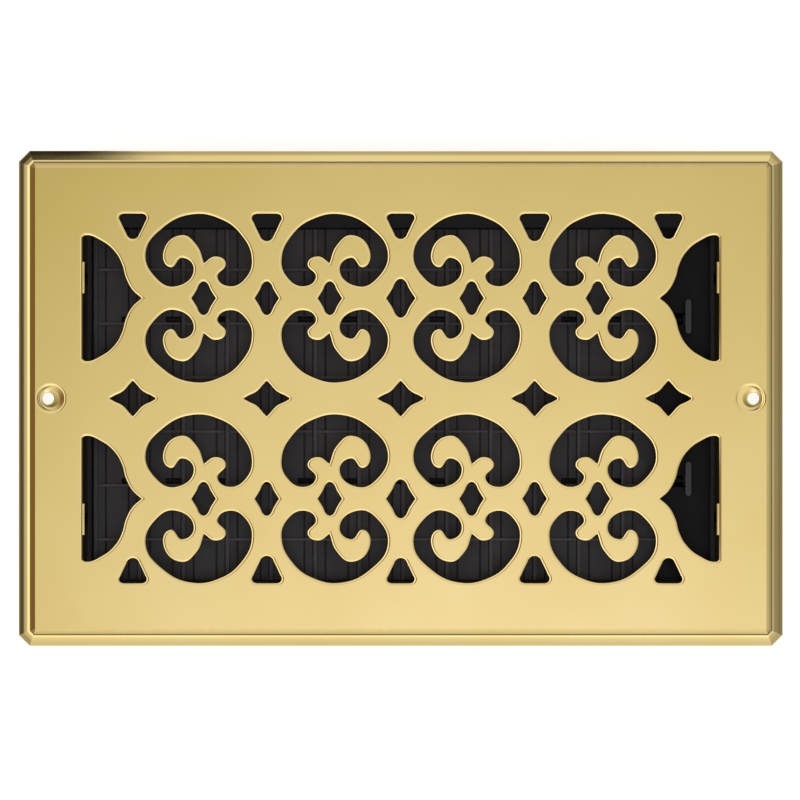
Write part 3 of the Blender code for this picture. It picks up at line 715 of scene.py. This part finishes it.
def mottle_group():
    made, start, end = new_group(
        "broad_mottling",
        [
            ("Scale", "NodeSocketFloat", 20.0), ("Low", "NodeSocketFloat", 0.0),
            ("High", "NodeSocketFloat", 1.0),
        ],
        ["Value"],
    )
    place = made.nodes.new("ShaderNodeTexCoord")
    noise = made.nodes.new("ShaderNodeTexNoise")
    noise.inputs["Detail"].default_value = 4
    spread = made.nodes.new("ShaderNodeMapRange")
    spread.inputs["From Min"].default_value = 0.3
    spread.inputs["From Max"].default_value = 0.7
    made.links.new(place.outputs["Object"], noise.inputs["Vector"])
    made.links.new(start.outputs["Scale"], noise.inputs["Scale"])
    made.links.new(noise.outputs["Fac"], spread.inputs["Value"])
    made.links.new(start.outputs["Low"], spread.inputs["To Min"])
    made.links.new(start.outputs["High"], spread.inputs["To Max"])
    made.links.new(spread.outputs["Result"], end.inputs["Value"])
    return made


# A mask for sharp edges: brass dulls them, and plastic paints them paler as a highlight.
def sharp_edge_group():
    made, start, end = new_group(
        "sharp_edge_mask",
        [
            ("Start", "NodeSocketFloat", 0.52), ("Full", "NodeSocketFloat", 0.62),
            ("Break Up", "NodeSocketFloat", 300.0),
        ],
        ["Wear"],
    )
    shape = made.nodes.new("ShaderNodeNewGeometry")
    spread = made.nodes.new("ShaderNodeMapRange")
    place = made.nodes.new("ShaderNodeTexCoord")
    noise = made.nodes.new("ShaderNodeTexNoise")
    both = made.nodes.new("ShaderNodeMath")
    both.operation = "MULTIPLY"
    made.links.new(shape.outputs["Pointiness"], spread.inputs["Value"])
    made.links.new(start.outputs["Start"], spread.inputs["From Min"])
    made.links.new(start.outputs["Full"], spread.inputs["From Max"])
    made.links.new(place.outputs["Object"], noise.inputs["Vector"])
    made.links.new(start.outputs["Break Up"], noise.inputs["Scale"])
    made.links.new(spread.outputs["Result"], both.inputs[0])
    made.links.new(noise.outputs["Fac"], both.inputs[1])
    made.links.new(both.outputs[0], end.inputs["Wear"])
    return made


GRAIN, MOTTLE, SHARP_EDGES = grain_group(), mottle_group(), sharp_edge_group()
print("groups:", [group.name for group in (GRAIN, MOTTLE, SHARP_EDGES)])


# %% Helpers for putting a material together
def material_named(name):
    """A new material with its nodes, its links and its main shader."""
    made = bpy.data.materials.new(name)
    made.use_nodes = True
    return made, made.node_tree.nodes, made.node_tree.links, made.node_tree.nodes["Principled BSDF"]


def placed_group(nodes, group, **values):
    """One copy of a group in a material, with its own values."""
    made = nodes.new("ShaderNodeGroup")
    made.node_tree = group
    for label, value in values.items():
        made.inputs[label.replace("_", " ")].default_value = value
    return made


def mixed_colour(nodes, links, factor, first, second):
    """Mixes a colour or a colour output with another by a mask."""
    made = nodes.new("ShaderNodeMix")
    made.data_type = "RGBA"
    links.new(factor, made.inputs["Factor"])
    for label, colour in (("A", first), ("B", second)):
        socket = next(s for s in made.inputs if s.name == label and s.type == "RGBA")
        if isinstance(colour, tuple):
            socket.default_value = (*colour, 1)
        else:
            links.new(colour, socket)
    return next(s for s in made.outputs if s.type == "RGBA")


def add_bump(nodes, links, shader, height, strength, distance):
    """Lets a height move the shader's normal."""
    bump = nodes.new("ShaderNodeBump")
    bump.inputs["Strength"].default_value = strength
    bump.inputs["Distance"].default_value = distance
    links.new(height, bump.inputs["Height"])
    links.new(bump.outputs["Normal"], shader.inputs["Normal"])


print("a material starts with", len(bpy.data.node_groups), "groups to draw on")

# %% [markdown]
# ## Polished brass
#
# The plate is polished and lacquered. What separates it from a plain gold mirror is the grain left by
# the polishing belt, which runs upright, a slight change of tone across the sheet, and a warmer,
# duller line along the arrises, where the lacquer thins.

# %% The brass
BRASS_LIGHT = (0.905, 0.715, 0.315)
BRASS_DEEP = (0.870, 0.665, 0.265)
BRASS_WORN = (0.800, 0.580, 0.220)

brass, nodes, links, shader = material_named("polished_brass_plate")
shader.inputs["Metallic"].default_value = 1.0
tone = placed_group(nodes, MOTTLE, Scale=14.0, Low=0.0, High=1.0)
colour = mixed_colour(nodes, links, tone.outputs["Value"], BRASS_LIGHT, BRASS_DEEP)
edge_mask_node = placed_group(nodes, SHARP_EDGES, Start=0.53, Full=0.66, Break_Up=420.0)
colour = mixed_colour(nodes, links, edge_mask_node.outputs["Wear"], colour, BRASS_WORN)
links.new(colour, shader.inputs["Base Color"])
dull = placed_group(nodes, MOTTLE, Scale=55.0, Low=0.06, High=0.09)
links.new(dull.outputs["Value"], shader.inputs["Roughness"])
belt = placed_group(nodes, GRAIN, Stretch=(1.0, 1.0, 0.012), Scale=2600.0)
add_bump(nodes, links, shader, belt.outputs["Grain"], 0.08, 0.00002)
plate.data.materials.clear()
plate.data.materials.append(brass)
print("brass: metallic", shader.inputs["Metallic"].default_value)

# %% [markdown]
# ## Moulded black plastic
#
# The damper is moulded in a black plastic with a faint warm cast. Moulds leave flow marks along the
# long way of each piece and a fine spark-eroded texture. Its edges are painted paler than the flats,
# as a painted highlight. The tabs are handled, so they are smoother.

# %% The black plastics
HIGHLIGHT_GAIN = 3.0
SMOOTHER = 0.06
ROUGHER = 0.08


def black_plastic(name, colour, faded, roughness, gloss, flow):
    """One plastic: two close blacks, edges painted paler as a highlight, an uneven sheen and flow
    marks.
    """
    made, nodes, links, shader = material_named(name)
    tone = placed_group(nodes, MOTTLE, Scale=38.0, Low=0.0, High=1.0)
    mixed = mixed_colour(nodes, links, tone.outputs["Value"], colour, faded)
    edge_mask_node = placed_group(nodes, SHARP_EDGES, Start=0.52, Full=0.64, Break_Up=900.0)
    shader.inputs["Specular IOR Level"].default_value = gloss
    # Painted highlight: the sharp edges get a colour three times paler than the faded black.
    painted_highlight = tuple(HIGHLIGHT_GAIN * channel for channel in faded)
    mixed = mixed_colour(nodes, links, edge_mask_node.outputs["Wear"], mixed, painted_highlight)
    links.new(mixed, shader.inputs["Base Color"])
    limits = {"Low": roughness - SMOOTHER, "High": roughness + ROUGHER}
    sheen = placed_group(nodes, MOTTLE, Scale=140.0, **limits)
    links.new(sheen.outputs["Value"], shader.inputs["Roughness"])
    marks = placed_group(nodes, GRAIN, Stretch=flow, Scale=1800.0)
    add_bump(nodes, links, shader, marks.outputs["Grain"], 0.25, 0.00003)
    return made


UPRIGHT = (1.0, 1.0, 0.15)
ALONG = (0.15, 1.0, 1.0)
# For each slot: colour, faded colour, roughness, gloss, and the way its marks run.
PLASTICS = {
    # The frame's and the box's blacks are darker than the plastic alone: partly painted shade for the
    # recesses behind the plate.
    "frame_black": ((0.008, 0.0072, 0.0077), (0.011, 0.0100, 0.0107), 0.55, 0.10, ALONG),
    "box_black": ((0.009, 0.0085, 0.009), (0.012, 0.0115, 0.012), 0.55, 0.05, ALONG),
    "louvre_black": ((0.022, 0.0190, 0.0215), (0.031, 0.0268, 0.0300), 0.42, 0.40, UPRIGHT),
    "link_black": ((0.012, 0.012, 0.0125), (0.017, 0.0168, 0.0172), 0.42, 0.2, ALONG),
    "tab_black": ((0.020, 0.0195, 0.0205), (0.027, 0.026, 0.027), 0.36, 0.4, UPRIGHT),
}
BLACKS = {slot: black_plastic("moulded_" + slot, *values) for slot, values in PLASTICS.items()}
for node, piece in black_pieces.items():
    piece.data.materials.clear()
    piece.data.materials.append(BLACKS[SLOTS[node]])
print(len(BLACKS), "black plastics on", len(black_pieces), "pieces")

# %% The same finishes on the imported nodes
for node, thing in frame["nodes"].items():
    finish = brass if node == "faceplate" else BLACKS[SLOTS[node]]
    for place in thing.material_slots:
        place.material = finish
print(len(frame["nodes"]), "packed nodes carry their finish")

# %% [markdown]
# ## A room for the brass to reflect
#
# Polished metal shows its surroundings more than itself. The flat face looks back past the camera,
# and each facet of the rim looks further out to its own side. So the room is painted by direction:
# paler below and darker above in front, a brown band and a bright one on the left, a dark line on the
# right, and a bright ceiling that fades at the left. The camera itself sees only white.

# %% Paint the room
def ramp_of(nodes, links, fac, stops):
    """A colour ramp from (place, red, green, blue) stops."""
    made = nodes.new("ShaderNodeValToRGB")
    points = made.color_ramp.elements
    while len(points) < len(stops):
        points.new(0.5)
    for point, (place, *colour) in zip(points, stops):
        point.position = place
        point.color = (*colour, 1)
    links.new(fac, made.inputs["Fac"])
    return made.outputs["Color"]


def grey(place, value):
    """A grey stop for a ramp."""
    return (place, value, value, value)


def feed(links, value, socket):
    """Sets a socket to a number, or links an output to it."""
    if isinstance(value, (int, float)):
        socket.default_value = value
    else:
        links.new(value, socket)


def maths(nodes, links, operation, *values):
    made = nodes.new("ShaderNodeMath")
    made.operation = operation
    for socket, value in zip(made.inputs, values):
        feed(links, value, socket)
    return made.outputs[0]


room = bpy.data.worlds.new("studio_room")
room.use_nodes = True
bpy.context.scene.world = room
nodes, links = room.node_tree.nodes, room.node_tree.links
nodes.clear()
direction = nodes.new("ShaderNodeTexCoord").outputs["Generated"]
split = nodes.new("ShaderNodeSeparateXYZ")
links.new(direction, split.inputs[0])
east, north, up = split.outputs
away = maths(nodes, links, "MULTIPLY_ADD", north, 0.5, 0.5)
BEHIND = grey(1.0, 1.3)
LEFT = [
    grey(0.0, 0.8), (0.09, 0.24, 0.16, 0.09), (0.20, 0.21, 0.14, 0.075), grey(0.27, 1.5),
    grey(0.32, 1.3), grey(0.36, 0.80), grey(0.52, 0.12), grey(0.66, 0.08), grey(0.76, 0.4), BEHIND,
]
RIGHT = [
    grey(0.0, 0.8), grey(0.09, 0.92), grey(0.15, 0.82), grey(0.19, 0.17), grey(0.23, 0.17),
    grey(0.28, 0.62), grey(0.31, 0.60), grey(0.35, 0.35), grey(0.65, 0.22), grey(0.76, 0.4), BEHIND,
]
TOP = [
    grey(0.0, 0.8), grey(0.09, 0.85), grey(0.15, 0.78), grey(0.19, 0.18), grey(0.23, 0.18),
    grey(0.28, 0.9), grey(0.45, 0.9), grey(0.65, 0.5), grey(0.76, 0.6), BEHIND,
]
BOTTOM = [
    grey(0.0, 0.95), grey(0.09, 0.92), grey(0.15, 1.0), grey(0.19, 0.20), grey(0.23, 0.20),
    grey(0.28, 1.5), grey(0.32, 1.2), grey(0.40, 0.88), grey(0.65, 0.76), grey(0.76, 0.8), BEHIND,
]
sides = [ramp_of(nodes, links, away, stops) for stops in (LEFT, RIGHT, TOP, BOTTOM)]
print("ramps:", [len(stops) for stops in (LEFT, RIGHT, TOP, BOTTOM)], "stops from ahead to behind")

# %% Share the four sides out by direction
def scaled(nodes, links, colour, factor):
    made = nodes.new("ShaderNodeVectorMath")
    made.operation = "SCALE"
    links.new(colour, made.inputs[0])
    links.new(factor, made.inputs["Scale"])
    return made.outputs[0]


def summed(nodes, links, first, second):
    made = nodes.new("ShaderNodeVectorMath")
    made.operation = "ADD"
    links.new(first, made.inputs[0])
    links.new(second, made.inputs[1])
    return made.outputs[0]


def ranged(nodes, links, value, ends, results=(0.0, 1.0), kind="LINEAR"):
    """Maps a value from between two ends to between two results, and stops there."""
    made = nodes.new("ShaderNodeMapRange")
    made.interpolation_type = kind
    for label, number in zip(("From Min", "From Max", "To Min", "To Max"), (*ends, *results)):
        made.inputs[label].default_value = number
    links.new(value, made.inputs["Value"])
    return made.outputs["Result"]


NOT_ZERO = 0.00001
sideways = maths(nodes, links, "MULTIPLY", east, east)
upright = maths(nodes, links, "MULTIPLY", up, up)
outward = maths(nodes, links, "ADD", sideways, upright)
spread = maths(nodes, links, "MAXIMUM", outward, NOT_ZERO)
weights = []
for axis, squared in ((east, sideways), (up, upright)):
    share = maths(nodes, links, "DIVIDE", squared, spread)
    positive = maths(nodes, links, "GREATER_THAN", axis, 0.0)
    plus = maths(nodes, links, "MULTIPLY", share, positive)
    minus = maths(nodes, links, "SUBTRACT", share, plus)
    weights += [minus, plus]
left_share, right_share, bottom_share, top_share = weights

CEILING_ENDS = (-0.071, -0.063)
CEILING_LEFT = 0.03
FADE_BEHIND = (0.345, 0.320)
ceiling_fade = ranged(nodes, links, east, CEILING_ENDS, (CEILING_LEFT, 1.0))
low_ceiling = ranged(nodes, links, away, FADE_BEHIND)
fade = maths(nodes, links, "MAXIMUM", ceiling_fade, low_ceiling)
top_share = maths(nodes, links, "MULTIPLY", top_share, fade)
around = scaled(nodes, links, sides[0], left_share)
for colour, share in zip(sides[1:], (right_share, top_share, bottom_share)):
    around = summed(nodes, links, around, scaled(nodes, links, colour, share))
print("the four sides make", len(nodes), "nodes")

# %% [markdown]
# The flat face looks straight ahead, into a small part of the room. There the light falls off with
# height and towards both sides, and its bright part is a little cooler than its dark part.

# %% Light the front by height
FRONT_LIGHT = 0.80
FRONT_SLOPE = -2.5
FRONT_DIMMEST = 0.28
FRONT_BRIGHTEST = 1.30
FRONT_MIDDLE = 0.02
FRONT_PEAK = 1.075
FRONT_FALL = -16.6
FRONT_EDGES = 0.6
FRONT_ENDS = (0.02, 0.08)
BLUE_START = 0.22
BLUE_GAIN = 0.88
front = maths(nodes, links, "MULTIPLY_ADD", up, FRONT_SLOPE, FRONT_LIGHT)
front = maths(nodes, links, "MAXIMUM", front, FRONT_DIMMEST)
front = maths(nodes, links, "MINIMUM", front, FRONT_BRIGHTEST)
off_centre = maths(nodes, links, "SUBTRACT", east, FRONT_MIDDLE)
squared = maths(nodes, links, "MULTIPLY", off_centre, off_centre)
falling = maths(nodes, links, "MULTIPLY_ADD", squared, FRONT_FALL, FRONT_PEAK)
falling = maths(nodes, links, "MAXIMUM", falling, FRONT_EDGES)
front = maths(nodes, links, "MULTIPLY", front, falling)
off_axis = ranged(nodes, links, away, FRONT_ENDS, kind="SMOOTHSTEP")
front_colour = nodes.new("ShaderNodeCombineColor")
for socket in front_colour.inputs:
    links.new(front, socket)
coolness = maths(nodes, links, "MULTIPLY_ADD", front, BLUE_GAIN, BLUE_START)
links.new(maths(nodes, links, "MULTIPLY", front, coolness), front_colour.inputs["Blue"])
blend = nodes.new("ShaderNodeMix")
blend.data_type = "VECTOR"
links.new(off_axis, blend.inputs["Factor"])
links.new(front_colour.outputs[0], blend.inputs[4])
links.new(around, blend.inputs[5])
print("the front peaks at", round(FRONT_LIGHT * FRONT_PEAK, 2), "on the level")

# %% Show the camera plain white, and everything else the room
lit = nodes.new("ShaderNodeBackground")
links.new(blend.outputs[1], lit.inputs["Color"])
plain = nodes.new("ShaderNodeBackground")
plain.inputs["Color"].default_value = (1, 1, 1, 1)
path = nodes.new("ShaderNodeLightPath")
choose = nodes.new("ShaderNodeMixShader")
links.new(path.outputs["Is Camera Ray"], choose.inputs[0])
links.new(lit.outputs[0], choose.inputs[1])
links.new(plain.outputs[0], choose.inputs[2])
output = nodes.new("ShaderNodeOutputWorld")
links.new(choose.outputs[0], output.inputs["Surface"])
print("room:", len(nodes), "nodes")

# %% [markdown]
# ## Wall, floor and camera
#
# The register hangs against a pale wall. A black panel fills the back of the damper as painted shade:
# it stands for the dark behind the louvres, where no light reaches. Both can be seen only from the
# front; from behind they let the view through. The panel shows to the camera and in reflections, but
# stops no other light, so the louvres' backs stay lit. A pale floor lies below. The camera looks
# straight at the face through a long lens.

# %% Wall and floor
WALL_GAP = 0.0004
SHADE_PANEL_EXTRA = 0.010
FLOOR_DROP = 0.075
ROOM_SIZE = 6


def plain_surface(name, shade, glow, one_sided):
    """A matt grey that may glow a little, and may be clear from behind."""
    made, nodes, links, shader = material_named(name)
    tint = placed_group(nodes, MOTTLE, Scale=3.0, Low=0.98 * shade, High=shade)
    tinted = nodes.new("ShaderNodeCombineColor")
    for socket in tinted.inputs:
        links.new(tint.outputs["Value"], socket)
    links.new(tinted.outputs[0], shader.inputs["Base Color"])
    shader.inputs["Roughness"].default_value = 0.9
    shader.inputs["Emission Color"].default_value = (1, 1, 1, 1)
    shader.inputs["Emission Strength"].default_value = glow
    if one_sided:
        clear = nodes.new("ShaderNodeBsdfTransparent")
        turned_away = nodes.new("ShaderNodeNewGeometry")
        pick_side = nodes.new("ShaderNodeMixShader")
        links.new(turned_away.outputs["Backfacing"], pick_side.inputs[0])
        links.new(shader.outputs[0], pick_side.inputs[1])
        links.new(clear.outputs[0], pick_side.inputs[2])
        links.new(pick_side.outputs[0], nodes["Material Output"].inputs["Surface"])
    return made


def plane(name, material, size, location, **turned_by):
    bpy.ops.object.select_all(action="DESELECT")
    bpy.ops.mesh.primitive_plane_add(size=size, location=location, **turned_by)
    made = bpy.context.object
    made.name = name
    made.data.materials.append(material)
    return made


wall_finish = plain_surface("pale_wall", 0.6, 0.75, True)
wall_place = (0, box_high.y + WALL_GAP, 0)
wall = plane("wall", wall_finish, ROOM_SIZE, wall_place, rotation=UPRIGHT_TURN)
# Painted shade: a black sheet seen only by the camera and in reflections, standing for the dark behind
# the louvres.
shade_panel_finish = plain_surface("painted_shade_panel", 0.01, 0.0, True)
shade_panel_place = (0, box_high.y + WALL_GAP / 2, (box_low.z + box_high.z) / 2)
shade_panel = plane("painted_shade_panel", shade_panel_finish, 1, shade_panel_place, rotation=UPRIGHT_TURN)
shade_panel.scale = (box_high.x - box_low.x + SHADE_PANEL_EXTRA, box_high.z - box_low.z + SHADE_PANEL_EXTRA, 1)
floor_finish = plain_surface("pale_floor", 0.6, 0.5, False)
floor = plane("floor", floor_finish, ROOM_SIZE, (0, 0, -HALF_HEIGHT - FLOOR_DROP))
wall.visible_glossy = False
floor.visible_glossy = False
for kind in ("diffuse", "transmission", "shadow"):
    setattr(shade_panel, "visible_" + kind, False)
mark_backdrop(wall, shade_panel, floor)
print("wall at", round(1000 * (box_high.y + WALL_GAP), 1), "mm")

# %% Camera
DISTANCE = 1.60
SEEN_WIDTH = 0.31136
AIM_X = -0.0003
AIM_Z = -0.0006
SENSOR = 36
bpy.ops.object.camera_add(location=(AIM_X, FRONT - DISTANCE, AIM_Z), rotation=UPRIGHT_TURN)
camera = bpy.context.object
camera.data.sensor_width = SENSOR
camera.data.lens = camera.data.sensor_width * DISTANCE / SEEN_WIDTH
bpy.context.scene.camera = camera
bpy.context.scene.view_settings.view_transform = "Standard"
print("lens:", round(camera.data.lens, 1), "mm")

# %% [markdown]
# ## Compare the size
#
# The dressed model must fill the same box as the imported one. The last call prints how far each side
# of the box has moved.

# %% Sizes and the last call
new_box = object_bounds()
change = [[round(1000 * (b - a), 3) for a, b in zip(*pair)] for pair in zip(cad_box, new_box)]
print("size change, in mm:", change)
